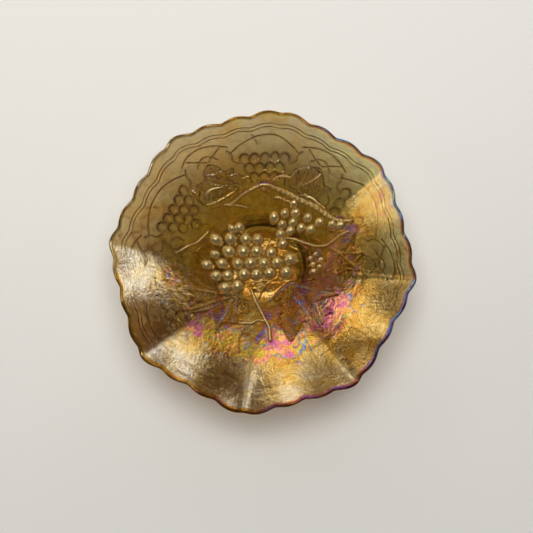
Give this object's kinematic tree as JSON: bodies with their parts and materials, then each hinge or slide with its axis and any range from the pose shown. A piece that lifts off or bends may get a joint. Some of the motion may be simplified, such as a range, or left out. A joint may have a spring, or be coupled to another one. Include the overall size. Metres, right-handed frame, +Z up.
{
  "type": "pressed glass bowl",
  "caption": "Round amber carnival glass bowl with a ruffled, scalloped rim on a low collar foot, moulded with raised grape bunches, vine leaves and a twig; it holds fruit or stands for display.",
  "frame": {"origin": "on the bowl's axis at the plane of the collar's underside, which it stands on", "axes": "+Z up along the bowl's axis, out of its open mouth; +Y towards the twig above the main grape bunch; +X to the right of that bunch, towards the small bunch"},
  "size_m": [0.2302, 0.2278, 0.0654],
  "materials": {
    "marigold_glass": "pressed amber glass with an iridescent marigold film"
  },
  "bodies": {
    "root": {"collar_base": "marigold_glass", "well": "marigold_glass", "ruffled_wall": "marigold_glass", "rim_lines": "marigold_glass", "main_grape_bunch": "marigold_glass", "side_grape_bunch": "marigold_glass", "small_grape_bunch": "marigold_glass", "vine": "marigold_glass", "stalk": "marigold_glass", "tendrils": "marigold_glass", "lower_left_leaf": "marigold_glass", "lower_right_leaf": "marigold_glass", "upper_left_leaf": "marigold_glass", "right_leaf": "marigold_glass", "upper_right_leaf": "marigold_glass", "outer_grape_bunches": "marigold_glass", "outer_leaves": "marigold_glass", "outer_arches": "marigold_glass"}
  },
  "joints": []
}
